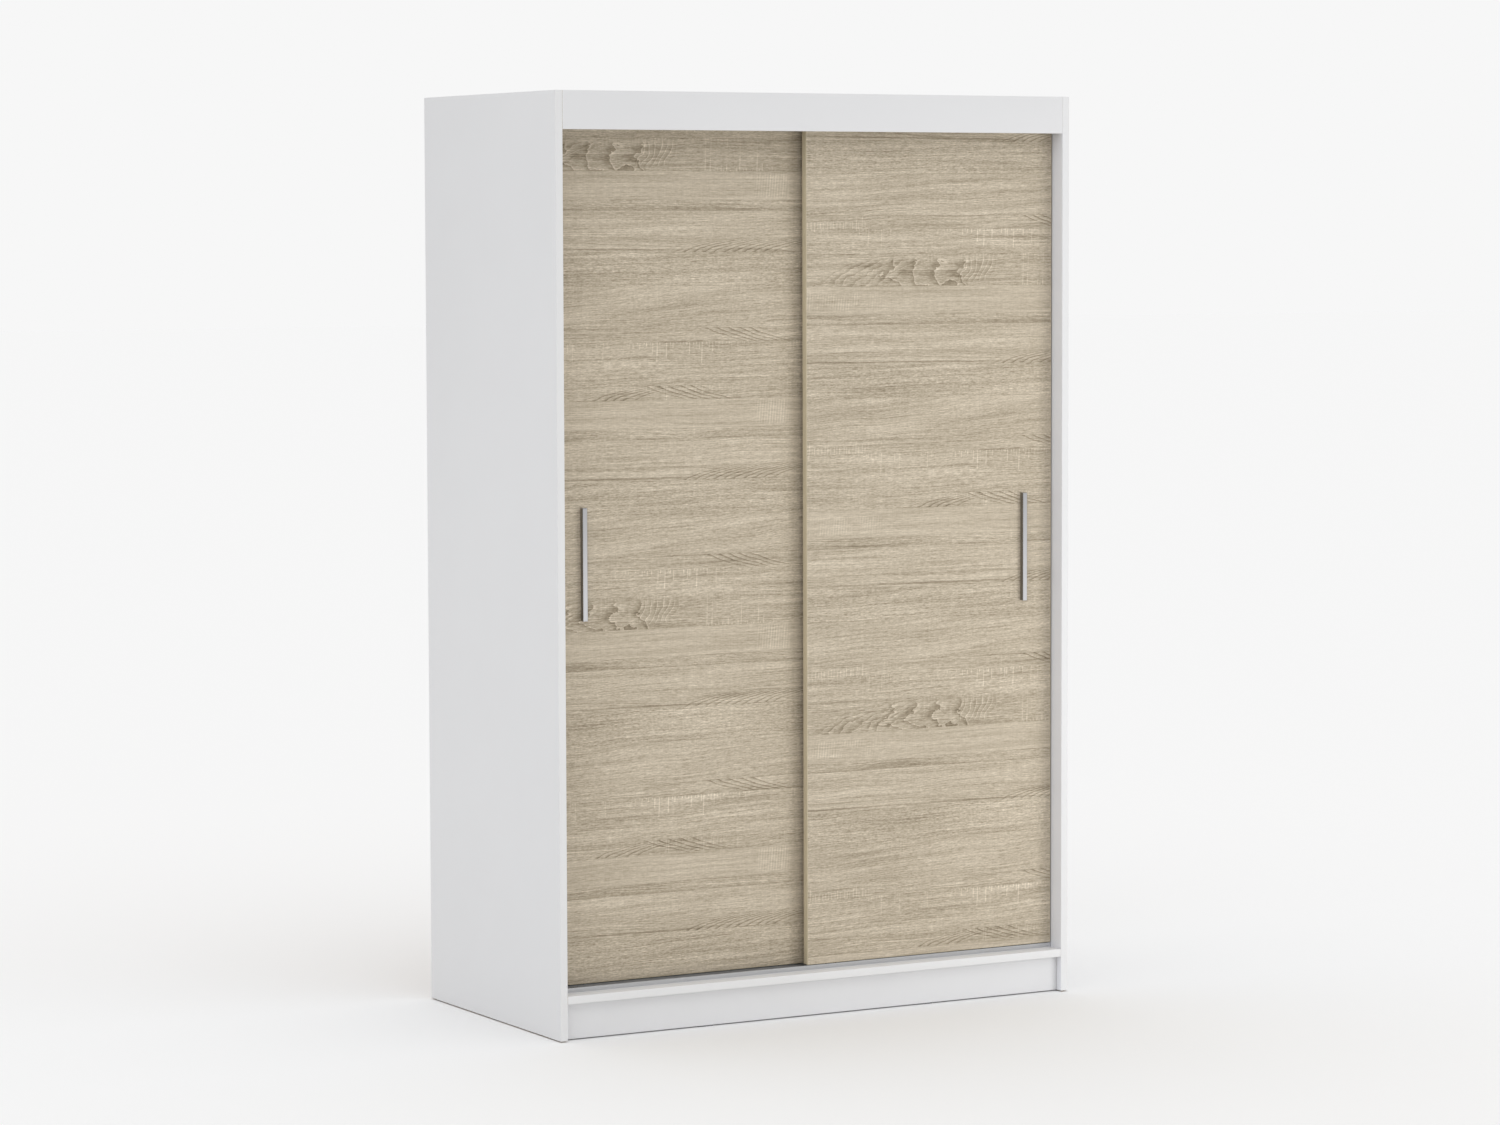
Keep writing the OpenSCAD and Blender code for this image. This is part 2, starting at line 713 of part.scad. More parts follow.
module height_adjusters()
    for (x = hardware_x)
        translate([x, door_t - adjuster_depth, adjuster_z]) rotate([-90, 0, 0]) difference() {
            cylinder(r = adjuster_r, h = adjuster_depth + flange_t);
            cross_recess(7, 2.5, adjuster_depth + flange_t);
        }

// Guide with a round-ended tongue that runs in a channel of the top track.
module top_guide(x)
    difference() {
        union() {
            translate([x - guide_w / 2, mortise_y, door_h - guide_h])
                cube([guide_w, door_t - mortise_y, guide_h]);
            translate([x - guide_w / 2 - flange_lap, door_t, door_h - guide_h])
                cube([guide_w + 2 * flange_lap, flange_t, guide_h]);
            translate([x - tongue_w / 2, wheel_plane - tongue_t / 2, door_h - 1])
                cube([tongue_w, tongue_t, tongue_h + 1]);
            for (s = [-1, 1])
                translate([x + s * tongue_w / 2, wheel_plane, door_h - 1])
                    cylinder(r = tongue_t / 2, h = tongue_h + 1);
        }
        at_guide_screws(x) along_y(screw_r, -1, flange_t + 1);
    }

module door_screws()
    for (x = hardware_x) {
        at_roller_screws(x) translate([0, flange_t, 0]) rotate([-90, 0, 0]) pan_screw(screw_l);
        at_guide_screws(x) translate([0, flange_t, 0]) rotate([-90, 0, 0]) pan_screw(screw_l);
    }

module door_left() color(OAK) on_door("left") door_board();
module edge_band_left() color(OAK) on_door("left") edge_band();
module handle_left() color(SILVER) on_door("left") handle_bar();
module handle_screws_left() color(STEEL) on_door("left") handle_screws();
module axles_left() color(STEEL) on_door("left") axles();
module height_adjusters_left() color(STEEL) on_door("left") height_adjusters();
module door_screws_left() color(STEEL) on_door("left") door_screws();
module roller_housing_left_outer() color(NYLON) on_door("left") roller_housing(hardware_x[0]);
module wheel_left_outer() color(DARK) on_door("left") wheel(hardware_x[0]);
module top_guide_left_outer() color(NYLON) on_door("left") top_guide(hardware_x[0]);
module roller_housing_left_inner() color(NYLON) on_door("left") roller_housing(hardware_x[1]);
module wheel_left_inner() color(DARK) on_door("left") wheel(hardware_x[1]);
module top_guide_left_inner() color(NYLON) on_door("left") top_guide(hardware_x[1]);
module door_right() color(OAK) on_door("right") door_board();
module edge_band_right() color(OAK) on_door("right") edge_band();
module handle_right() color(SILVER) on_door("right") handle_bar();
module handle_screws_right() color(STEEL) on_door("right") handle_screws();
module axles_right() color(STEEL) on_door("right") axles();
module height_adjusters_right() color(STEEL) on_door("right") height_adjusters();
module door_screws_right() color(STEEL) on_door("right") door_screws();
module roller_housing_right_outer() color(NYLON) on_door("right") roller_housing(hardware_x[0]);
module wheel_right_outer() color(DARK) on_door("right") wheel(hardware_x[0]);
module top_guide_right_outer() color(NYLON) on_door("right") top_guide(hardware_x[0]);
module roller_housing_right_inner() color(NYLON) on_door("right") roller_housing(hardware_x[1]);
module wheel_right_inner() color(DARK) on_door("right") wheel(hardware_x[1]);
module top_guide_right_inner() color(NYLON) on_door("right") top_guide(hardware_x[1]);

// ---------------------------------------------------------------- nodes

side_panel_left();
side_panel_right();
top_panel();
bottom_panel();
plinth_front();
plinth_rear();
plinth_brace();
fascia();
partition();
back_panel_left();
back_panel_right();
back_joint_strip();
shelf_1();
shelf_2();
shelf_3();
shelf_4();
hat_shelf();
hanging_rail();
rail_bracket_inner();
rail_bracket_outer();
wall_brackets();
glides();
shelf_pins();
cam_discs();
cam_dowels();
wood_dowels();
confirmat_screws();
board_screws();
back_nails();
top_track();
bottom_track();
track_stops();
door_left();
door_right();
edge_band_left();
edge_band_right();
handle_left();
handle_right();
handle_screws_left();
handle_screws_right();
roller_housing_left_outer();
roller_housing_left_inner();
roller_housing_right_outer();
roller_housing_right_inner();
wheel_left_outer();
wheel_left_inner();
wheel_right_outer();
wheel_right_inner();
axles_left();
axles_right();
height_adjusters_left();
height_adjusters_right();
top_guide_left_outer();
top_guide_left_inner();
top_guide_right_outer();
top_guide_right_inner();
door_screws_left();
door_screws_right();
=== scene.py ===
"""Looks of the sliding door wardrobe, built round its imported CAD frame.

Pieces are in metres, in the frame of the CAD. Patterns of materials are in millimetres, and
their brightness is in display steps of 1/255.
"""

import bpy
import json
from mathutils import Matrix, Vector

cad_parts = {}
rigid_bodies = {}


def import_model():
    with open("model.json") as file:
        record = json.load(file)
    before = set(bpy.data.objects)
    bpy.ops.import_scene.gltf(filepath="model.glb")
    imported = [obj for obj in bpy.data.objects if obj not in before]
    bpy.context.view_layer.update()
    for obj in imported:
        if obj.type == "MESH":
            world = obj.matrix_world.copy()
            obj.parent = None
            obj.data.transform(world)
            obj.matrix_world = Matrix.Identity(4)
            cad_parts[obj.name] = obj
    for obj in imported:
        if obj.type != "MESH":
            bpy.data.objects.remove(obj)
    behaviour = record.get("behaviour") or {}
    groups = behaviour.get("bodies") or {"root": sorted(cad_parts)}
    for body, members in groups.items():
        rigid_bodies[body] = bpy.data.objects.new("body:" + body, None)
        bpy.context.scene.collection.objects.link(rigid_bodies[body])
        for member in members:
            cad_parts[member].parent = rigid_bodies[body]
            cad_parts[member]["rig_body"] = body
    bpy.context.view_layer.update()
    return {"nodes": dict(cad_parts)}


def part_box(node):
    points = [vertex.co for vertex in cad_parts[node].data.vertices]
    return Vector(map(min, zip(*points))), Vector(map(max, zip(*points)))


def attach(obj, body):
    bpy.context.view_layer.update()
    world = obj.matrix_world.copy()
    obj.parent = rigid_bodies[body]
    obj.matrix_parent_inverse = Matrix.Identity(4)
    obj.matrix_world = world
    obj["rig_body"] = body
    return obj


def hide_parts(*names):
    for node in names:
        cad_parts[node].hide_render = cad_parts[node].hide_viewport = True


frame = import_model()
cad_slots = {name: node.data.materials[0].name for name, node in frame["nodes"].items()}

import json
import math
from collections import namedtuple

import bmesh
import bpy
from mathutils import Matrix, Vector

scene = bpy.context.scene
MM = 0.001
X, Y, Z = range(3)

# ---------------------------------------------------------------- camera

CAMERA_PLACE = (-4.6122, -8.1822, 1.6103)
CAMERA_YAW = math.radians(29.425)
CAMERA_PITCH = math.radians(-4.2486)
CAMERA_ROLL = math.radians(-0.1745)
CAMERA_LENS = 108.145
CAMERA_FAR = 200
SENSOR_WIDTH = 36


def make_camera():
    forward = Vector((
        math.sin(CAMERA_YAW) * math.cos(CAMERA_PITCH),
        math.cos(CAMERA_YAW) * math.cos(CAMERA_PITCH),
        math.sin(CAMERA_PITCH),
    ))
    right = Vector((math.cos(CAMERA_YAW), -math.sin(CAMERA_YAW), 0))
    up = right.cross(forward)
    c, s = math.cos(CAMERA_ROLL), math.sin(CAMERA_ROLL)
    right, up = right * c + up * s, up * c - right * s
    data = bpy.data.cameras.new("camera")
    data.lens = CAMERA_LENS
    data.sensor_width = SENSOR_WIDTH
    data.clip_end = CAMERA_FAR
    camera = bpy.data.objects.new("camera", data)
    turn = Matrix((right, up, -forward)).transposed().to_4x4()
    camera.matrix_world = Matrix.Translation(CAMERA_PLACE) @ turn
    scene.collection.objects.link(camera)
    scene.camera = camera


# ---------------------------------------------------------------- node arithmetic

DISPLAY_STEPS = 255
DISPLAY_GAMMA = 2.2


class Term:
    """An output of a node, with arithmetic that adds Math nodes."""

    def __init__(self, net, socket):
        self.net = net
        self.socket = socket

    def __add__(self, other):
        return self.net.math("ADD", self, other)

    __radd__ = __add__

    def __sub__(self, other):
        return self.net.math("SUBTRACT", self, other)

    def __rsub__(self, other):
        return self.net.math("SUBTRACT", other, self)

    def __mul__(self, other):
        return self.net.math("MULTIPLY", self, other)

    def __truediv__(self, other):
        return self.net.math("DIVIDE", self, other)

    def __neg__(self):
        return self.net.math("MULTIPLY", self, -1.0)

    def abs(self):
        return self.net.math("ABSOLUTE", self)

    def frac(self):
        return self.net.math("FRACT", self)

    def floor(self):
        return self.net.math("FLOOR", self)

    def sin(self):
        return self.net.math("SINE", self)

    def above(self, other):
        """1 where the term is greater, else 0."""
        return self.net.math("GREATER_THAN", self, other)

    def rise(self, low, high):
        """0 below low, 1 above high, smooth between them."""
        return self.net.smooth(self, low, high, 0.0, 1.0)

    def fall(self, low, high):
        """1 below low, 0 above high, smooth between them."""
        return self.net.smooth(self, low, high, 1.0, 0.0)

    def window(self, low, high, soft):
        """1 between low and high, with soft edges that reach this far to both sides."""
        return self.rise(low - soft, low + soft) * self.fall(high - soft, high + soft)


class Net:
    """A material whose node tree is written as arithmetic."""

    def __init__(self, name):
        self.material = bpy.data.materials.new(name)
        self.material.use_nodes = True
        self.tree = self.material.node_tree
        self.bsdf = self.tree.nodes["Principled BSDF"]

    def node(self, kind, inputs=(), **settings):
        made = self.tree.nodes.new(kind)
        for key, value in settings.items():
            setattr(made, key, value)
        for key, value in dict(inputs).items():
            self.feed(made.inputs[key], value)
        return made

    def feed(self, socket, value):
        """Links a term to the socket, or sets a plain value on it."""
        if isinstance(value, Term):
            self.tree.links.new(value.socket, socket)
        else:
            socket.default_value = value

    def math(self, operation, *terms):
        made = self.node("ShaderNodeMath", operation=operation)
        for socket, term in zip(made.inputs, terms):
            self.feed(socket, term)
        return Term(self, made.outputs[0])

    def smooth(self, value, from_low, from_high, to_low, to_high):
        """The value carried from one range to another with eased, clamped ends."""
        made = self.node(
            "ShaderNodeMapRange",
            {
                "Value": value,
                "From Min": from_low,
                "From Max": from_high,
                "To Min": to_low,
                "To Max": to_high,
            },
            interpolation_type="SMOOTHSTEP",
        )
        return Term(self, made.outputs["Result"])

    def place(self):
        """The point in the CAD's frame, at rest, in millimetres."""
        coordinates = self.node("ShaderNodeTexCoord").outputs["Object"]
        return [term * (1 / MM) for term in self.split(coordinates)]

    def attribute(self, name):
        """A vector stored on the mesh."""
        return self.split(self.node("ShaderNodeAttribute", attribute_name=name).outputs["Vector"])

    def split(self, socket):
        parts = self.node("ShaderNodeSeparateXYZ")
        self.tree.links.new(socket, parts.inputs[0])
        return [Term(self, out) for out in parts.outputs]

    def join(self, x, y, z=0.0):
        return Term(self, self.node("ShaderNodeCombineXYZ", {"X": x, "Y": y, "Z": z}).outputs[0])

    def noise(self, x, y, detail=1.0, rough=0.5):
        """Smooth noise of about -1 to 1 over the plane, with features about one unit wide."""
        made = self.node(
            "ShaderNodeTexNoise",
            {"Vector": self.join(x, y), "Scale": 1.0, "Detail": detail, "Roughness": rough},
            noise_dimensions="2D",
        )
        return Term(self, made.outputs[0]) * 2.0 - 1.0

    def noise_3d(self, place, size, detail=2.0, rough=0.5, shift=(0, 0, 0)):
        """Smooth noise of about -1 to 1 in space.

        size is how wide its features are, as one number or one per axis. shift moves the
        pattern by that many features, so that two layers don't repeat each other.
        """
        sizes = size if isinstance(size, (tuple, list)) else (size,) * 3
        at = [p / s + d if d else p / s for p, s, d in zip(place, sizes, shift)]
        made = self.node(
            "ShaderNodeTexNoise",
            {"Vector": self.join(*at), "Scale": 1.0, "Detail": detail, "Roughness": rough},
        )
        return Term(self, made.outputs[0]) * 2.0 - 1.0

    def random(self, x, y):
        """A number of 0 to 1 that jumps from one integer to the next."""
        made = self.node(
            "ShaderNodeTexWhiteNoise", {"Vector": self.join(x, y)}, noise_dimensions="2D"
        )
        return Term(self, made.outputs["Value"])

    def cells(self, x, y, z):
        """Distance to the nearest of scattered points, and a random number for each of them."""
        made = self.node("ShaderNodeTexVoronoi", {"Vector": self.join(x, y, z), "Scale": 1.0})
        shade = self.node("ShaderNodeSeparateColor")
        self.tree.links.new(made.outputs["Color"], shade.inputs[0])
        return Term(self, made.outputs["Distance"]), Term(self, shade.outputs[0])

    def colour(self, base, level):
        """base in display values of 0 to 255, with level added to each channel."""
        channels = zip(("Red", "Green", "Blue"), base)
        mixed = self.node(
            "ShaderNodeCombineColor",
            {key: (level + channel) * (1 / DISPLAY_STEPS) for key, channel in channels},
        )
        shown = Term(self, mixed.outputs[0])
        linear = self.node("ShaderNodeGamma", {"Color": shown, "Gamma": DISPLAY_GAMMA})
        return Term(self, linear.outputs[0])

    def finish(self, colour, roughness, height, depth, metallic=0.0, specular=0.5):
        """Feeds the surface and returns the material. depth is a height of 1, in metres."""
        bump = self.node("ShaderNodeBump", {"Height": height, "Distance": depth, "Strength": 1.0})
        for name, value in (
            ("Base Color", colour),
            ("Roughness", roughness),
            ("Metallic", metallic),
            ("Specular IOR Level", specular),
            ("Normal", Term(self, bump.outputs[0])),
        ):
            self.feed(self.bsdf.inputs[name], value)
        return self.material


# ---------------------------------------------------------------- oak decor

# u runs along the fibres and v upward. The print repeats every OAK_REPEAT, downward from the
# seam at OAK_SEAM, in two halves that are almost alike. Each half has the planks below.
Plank = namedtuple("Plank", "height tone slope pores ticks contrast")
OAK_PLANKS = [
    Plank(58, 0, 0.00, 0.3, 0.0, 0.6),
    Plank(21, -7, 0.01, 0.7, 0.0, 0.9),
    Plank(55, 2, -0.01, 0.9, 0.0, 0.75),
    Plank(28, -2, 0.02, 0.6, 0.0, 0.8),
    Plank(67, -3, -0.02, 1.5, 0.1, 0.85),
    Plank(85, -1, -0.05, 1.1, 0.45, 0.75),
    Plank(28, -5, -0.02, 0.6, 0.35, 0.85),
    Plank(87, -1, -0.02, 1.0, 1.0, 0.85),
    Plank(28, -6, -0.01, 0.6, 0.5, 0.9),
]
LAST_PLANK = len(OAK_PLANKS)
OAK_SEAM = 1724.0
OAK_HALF = 457.0  # height of the first half
OAK_REPEAT = 916.0
FLAME_EXTRA = 36.0  # the flame plank, last of the second half, is this much taller
FLAME_TONE = -1.0  # added to its tone
PLANK_SEED = 17.3  # step between the noise of one plank and that of the next
HALF_SEED = 11.0  # and how many such steps there are from one half to the other
OAK_COLOUR = (194, 181.5, 161)
OAK_ROUGH = (-30, 30, 0.62, 0.5)  # from these levels to these values of roughness
EDGE_BAND_COLOUR = (199, 187, 160)
EDGE_BAND_ROUGH = (-25, 25, 0.5, 0.38)

# How the fibres bend: length and width of the waves, their height, and more where they slope.
WAVE = (210, 60)
WAVE_HEIGHT = 4.5
WAVE_BY_SLOPE = 60
# Streaks that follow the fibres.
Streak = namedtuple("Streak", "length width strength detail rough", defaults=(1.0, 0.5))
BROAD_STREAK = Streak(330, 13, 25.0)
MIDDLE_STREAK = Streak(70, 3.4, 18.0, 2.0, 0.6)
FINE_STREAK = Streak(20, 1.8, 50.0, 2.0, 0.75)
# What else follows them, as (length, width), with where its noise turns into it.
GRIT = (6.5, 1.9)
GRIT_STRENGTH = 13.0
GRIT_BY_PORES = 11.0  # more where a plank has many pores
PORE = (12, 1.3)
PORE_RANGE = (0.12, 0.36)
PORE_STRENGTH = 13.0
LINE = (280, 2.1)
LIGHT_LINE_RANGE = (-0.38, -0.2)
LIGHT_LINE_STRENGTH = 12.0
DARK_LINE_RANGE = (0.14, 0.34)
DARK_LINE_STRENGTH = 18.0
# Faint upright traces of the saw.
SAW = (2.6, 34)
SAW_STRENGTH = 5.0

# Two noises that disturb the lines of all figures, as (length, width).
JITTER = (46, 30)
RAGGED = (13, 7)

# Figures made of late-wood lines: the spacing of the lines, the light edge and the dark side of
# each, the part of the spacing where the dark side starts, and how they lean and curve with the
# distance from a seam. A span is where a figure is along its lines, as (from, to, softness).
Lines = namedtuple("Lines", "spacing light dark start lean curve")
LIGHT_EDGE = (0.03, 0.2)
RISING_ARCS = Lines(23, 8.0, 44.0, 0.45, 1.5, 0.11)
RISING_SPAN = (-292, -60, 26)
RISING_FADE = (20.0, 33.0)
CALM_SPAN = (-500, -385, 20)
FALLING_ARCS = Lines(25, 10.0, 45.0, 0.45, 2.2, 0.04)
FALLING_SPAN = (-238, -110, 20)
CALM_SHIFT = 138.0  # the falling arcs of the calm plank are this much further left
ARC_JITTER = 0.3  # shares of the spacing
ARC_RAGGED = 0.06
# The long line that the rising arcs leave, just above the seam.
TRAIL_HEIGHT = 3.0
TRAIL_SLOPE = 0.006
TRAIL_JITTER = 1.4
TRAIL_WIDTH = (0.5, 2.6)
TRAIL_END = (-330, -190)
TRAIL_STRENGTH = 29.0

# The flame: curls that bend back at a cusp, with tight lines at one end and ribs at the other.
FLAME_FADE = (1.0, 20.0)
SWAY = 75
CUSP_HEIGHT = 22.0
CUSP_JITTER = 7.0
CUSP_SWAY = 14.0
BEND_BELOW = 44.0
BEND_BELOW_RANGE = (-26.0, 1.0)
BEND_ABOVE = 20.0
BEND_ABOVE_RANGE = (-1.0, 34.0)
CURLS = Lines(58, 19.0, 32.0, 0.42, 0, 0)
CURL_SPAN = (-575, -375, 14)
CURL_SHIFT = 390
CURL_SWAY = 0.5
CURL_JITTER = 30.0
CURL_RAGGED = 11.0
TIGHT_LINES = Lines(12.5, 30.0, 12.0, 0.3, 0.35, 0)
TIGHT_SPAN = (-392, -314, 7)
TIGHT_FADE = (4.0, 18.0)
TIGHT_JITTER = 6.0
RIPPLE_LENGTH = 9
RIPPLE_SWAY = 3.0
RIPPLE_WIDTH = 4.0
RIBS = Lines(28, 9.0, 25.0, 0.3, 1.1, 0.016)
RIB_SPAN = (-735, -560, 26)
RIB_JITTER = 12.0
RIB_RAGGED = 4.0
RIB_UNEVEN = 0.4
RIB_STRENGTH = (-0.5, 0.5, 0.5, 1.2)  # from this range of the jitter to these strengths

# Saw marks: light ticks that hang from a seam or stand on it, in clusters.
TICK_PITCH = 7.5
TICK_SHIFT = 0.5  # how much of the pitch a tick may be off its place
TICK_WIDTH = (0.5, 1.7)
TICK_LEAN = 0.04
TICK_END = (-1.0, 2.0)
TICK_LENGTH = (4.0, 16.0)  # the least, and how much more there may be
REACH_SEED = 3.7
LONG_TICK_LENGTH = 26.0  # how much more still for some
LONG_TICK_CHANCE = 0.62  # share of the ticks that are not among these
TICK_GAPS = 0.15  # share of the ticks that are missing
TICK_STRENGTH = 24.0
CLUSTER_LENGTH = 60
CLUSTER_RANGE = (0.0, 0.3)
CLUSTER_STRENGTH = 0.6
DENSE_CENTRE = -300.0  # around which the lowest two planks have many ticks
DENSE_REACH = (70.0, 130.0)
FLAME_FOOT = (-245, -70, 18)
FLAME_FOOT_LENGTH = 0.8
FLAME_FOOT_GAPS = 0.3
FLAME_FOOT_STRENGTH = 20.0
PLANK_FOOT = (-620, -600)
PLANK_FOOT_LENGTH = (12.0, 0.35)
PLANK_FOOT_STRENGTH = 17.0

# Two regular combs of finer marks in plank 1, the second one partly worn off.
COMB_PITCH = 6.2
COMB_TOOTH = (0.1, 0.32)
COMB_LEAN = 0.09
COMB_STRENGTH = (0.5, 0.7)  # the least, and how much more there may be
COMB_LEVEL = 16.0
COMB_SPAN = (-112, -38, 7)
COMB_DEPTH = (5, 52, 5)
WORN_COMB_SPAN = (-640, -540)
WORN_COMB_DEPTH = (14, 49, 5)
WORN_COMB_RANGE = (-0.3, 0.2)

SEAM_WIDTH = (0.2, 1.3)
SEAM_STRENGTH = 19.0
SEAM_PARTS = 130  # how long the stretches are in which a seam shows
SEAM_PARTS_RANGE = (-0.25, 0.3)
SEAM_SEED = 5.1
DARK_FOOT = (0.0, 9.0)  # the foot of plank 2 is darker
DARK_FOOT_STRENGTH = 13.0
RELIEF_PORES = 0.5
RELIEF_SEAMS = 0.5
RELIEF_FIBRES = 0.02


class OakPrint:
    """The oak decor at the point (u, v)."""

    def __init__(self, net, u, v):
        self.net, self.u, self.v = net, u, v
        below = net.math("FLOORED_MODULO", OAK_SEAM - v, OAK_REPEAT)
        self.half = below.above(OAK_HALF)  # 0 in the first half, 1 in the second
        inside = below - self.half * OAK_HALF
        tops = [0.0]
        for plank in OAK_PLANKS:
            tops.append(tops[-1] + plank.height)
        last_top = tops[-2] - self.half * FLAME_EXTRA
        last_bottom = OAK_HALF + self.half * (OAK_REPEAT - 2 * OAK_HALF)
        self.starts = [inside.above(top) for top in tops[1:-2] + [last_top]]

        self.depth = inside - self.by_plank(tops[:-2] + [last_top])
        self.height = self.by_plank(tops[1:-2] + [last_top, last_bottom]) - inside
        self.index = self.by_plank([float(i) for i in range(len(OAK_PLANKS))])
        self.seed = (self.index + self.half * HALF_SEED) * PLANK_SEED
        last = self.from_plank(LAST_PLANK)
        self.flame = last * self.half
        self.calm = last * (1.0 - self.half)
        self.jitter = net.noise(u / JITTER[0] + self.seed, v / JITTER[1], 2.0)
        self.ragged = net.noise(u / RAGGED[0] + self.seed, v / RAGGED[1])

    def by_plank(self, values):
        """The value of the plank that the point is in."""
        total = values[0]
        for start, (before, value) in zip(self.starts, zip(values, values[1:])):
            if isinstance(value, Term) or isinstance(before, Term) or value != before:
                total = start * (value - before) + total
        return total

    def share(self, field):
        """A field of the plank that the point is in."""
        return self.by_plank([float(getattr(plank, field)) for plank in OAK_PLANKS])

    def from_plank(self, number):
        """1 in this plank, counted from 1, and in those below it."""
        return self.starts[number - 2]

    def in_plank(self, number):
        """1 in this plank, which is not the last one."""
        return self.from_plank(number) * (1.0 - self.from_plank(number + 1))

    def streak(self, kind, across, seed):
        """One layer of streaks, in display steps."""
        at = self.u / kind.length + seed
        return self.net.noise(at, across / kind.width, kind.detail, kind.rough) * kind.strength

    def fibres(self):
        """Brightness of all that follows the fibres, then its fine streaks and its pores."""
        u, v, seed, noise = self.u, self.v, self.seed, self.net.noise
        slope, pore_share = self.share("slope"), self.share("pores")
        wave = noise(u / WAVE[0] + seed, v / WAVE[1])
        across = v + wave * (slope.abs() * WAVE_BY_SLOPE + WAVE_HEIGHT) + slope * u
        broad = self.streak(BROAD_STREAK, across, seed)
        middle = self.streak(MIDDLE_STREAK, across, -seed)
        fine = self.streak(FINE_STREAK, across, seed)
        grit = noise(u / GRIT[0], across / GRIT[1] + seed)
        grit = grit * (pore_share * GRIT_BY_PORES + GRIT_STRENGTH)
        pores = noise(u / PORE[0] - seed, across / PORE[1]).rise(*PORE_RANGE) * pore_share
        line = noise(u / LINE[0] + seed, across / LINE[1])
        light = line.fall(*LIGHT_LINE_RANGE) * LIGHT_LINE_STRENGTH
        dark = line.rise(*DARK_LINE_RANGE) * DARK_LINE_STRENGTH + pores * PORE_STRENGTH
        level = (broad + middle + fine + grit + light - dark) * self.share("contrast")
        saw = noise(u / SAW[0], v / SAW[1] + seed) * SAW_STRENGTH
        return level + saw, fine, pores

    def leaned(self, kind, away):
        """u, less what the lines lean and curve at this distance from their seam."""
        return self.u - away * (away * kind.curve + kind.lean)

    def contour(self, kind, at, disturbed=0.0):
        """Sharp lines with the tone before each fading in, as in cut layers of late wood."""
        f = (at / kind.spacing + disturbed).frac()
        return f.fall(*LIGHT_EDGE) * kind.light - f.rise(kind.start, 1.0) * kind.dark

    def arcs(self):
        """Arcs that rise to the right from the seam below, and arcs that fall from the one above.

        The rising ones are in plank 4 and in the calm one, the falling ones in plank 7 and,
        further left, in the calm one. The calm plank is the last of the first half.
        """
        depth, height = self.depth, self.height
        disturbed = self.jitter * ARC_JITTER + self.ragged * ARC_RAGGED
        at = self.leaned(RISING_ARCS, height)
        where = at.window(*RISING_SPAN) * self.in_plank(4) + at.window(*CALM_SPAN) * self.calm
        rising = self.contour(RISING_ARCS, at, disturbed) * height.fall(*RISING_FADE) * where

        off = height - TRAIL_HEIGHT + self.u * TRAIL_SLOPE - self.jitter * TRAIL_JITTER
        trail = off.abs().fall(*TRAIL_WIDTH) * self.u.fall(*TRAIL_END)
        trail = trail * self.in_plank(4) * TRAIL_STRENGTH

        at = self.leaned(FALLING_ARCS, depth) + self.from_plank(LAST_PLANK) * CALM_SHIFT
        where = at.window(*FALLING_SPAN) * (self.in_plank(7) + self.calm)
        return rising - trail + self.contour(FALLING_ARCS, at, disturbed) * where

    def flame_figure(self):
        """The curls, tight lines and ribs of the flame plank."""
        height, jitter, ragged = self.height, self.jitter, self.ragged
        sway = self.net.noise(self.u / SWAY, self.half)
        cusp = height - CUSP_HEIGHT + jitter * CUSP_JITTER + sway * CUSP_SWAY
        bend = cusp.fall(*BEND_BELOW_RANGE) * BEND_BELOW
        bend = bend + cusp.rise(*BEND_ABOVE_RANGE) * BEND_ABOVE
        at = self.u - bend + jitter * CURL_JITTER + ragged * CURL_RAGGED
        curls = self.contour(CURLS, at + CURL_SHIFT, sway * CURL_SWAY) * at.window(*CURL_SPAN)

        ripple = (height / RIPPLE_LENGTH + sway * RIPPLE_SWAY).sin() * RIPPLE_WIDTH
        at = self.leaned(TIGHT_LINES, height) + ripple + jitter * TIGHT_JITTER
        tight = self.contour(TIGHT_LINES, at) * at.window(*TIGHT_SPAN) * height.rise(*TIGHT_FADE)

        at = self.leaned(RIBS, height) + jitter * RIB_JITTER + ragged * RIB_RAGGED
        ribs = self.contour(RIBS, at, jitter * RIB_UNEVEN) * at.window(*RIB_SPAN)
        ribs = ribs * self.net.smooth(jitter, *RIB_STRENGTH)
        return (curls + tight + ribs) * self.depth.rise(*FLAME_FADE) * self.flame

    def saw_marks(self):
        """Ticks below most seams, on that of the flame and on that of plank 7, and the combs."""
        u, depth, height, seed = self.u, self.depth, self.height, self.seed
        cell = (u + depth * TICK_LEAN) / TICK_PITCH
        number = cell.floor()
        chance = self.net.random(number, seed)
        shift = (self.net.random(number + 0.5, seed) - 0.5) * TICK_SHIFT
        reach = self.net.random(number, seed + REACH_SEED)
        stroke = ((cell.frac() - 0.5 + shift).abs() * TICK_PITCH).fall(*TICK_WIDTH)
        least, more = TICK_LENGTH
        long = chance.above(LONG_TICK_CHANCE) * LONG_TICK_LENGTH
        length = reach * reach * (long + more) + least

        cluster = self.net.noise(u / CLUSTER_LENGTH + seed, 0.5).rise(*CLUSTER_RANGE)
        dense = (u - DENSE_CENTRE).abs().fall(*DENSE_REACH) * self.from_plank(8)
        cluster = self.net.math("MAXIMUM", cluster * CLUSTER_STRENGTH, dense)
        hanging = stroke * (length - depth).rise(*TICK_END) * cluster * chance.above(TICK_GAPS)
        level = hanging * self.share("ticks") * TICK_STRENGTH

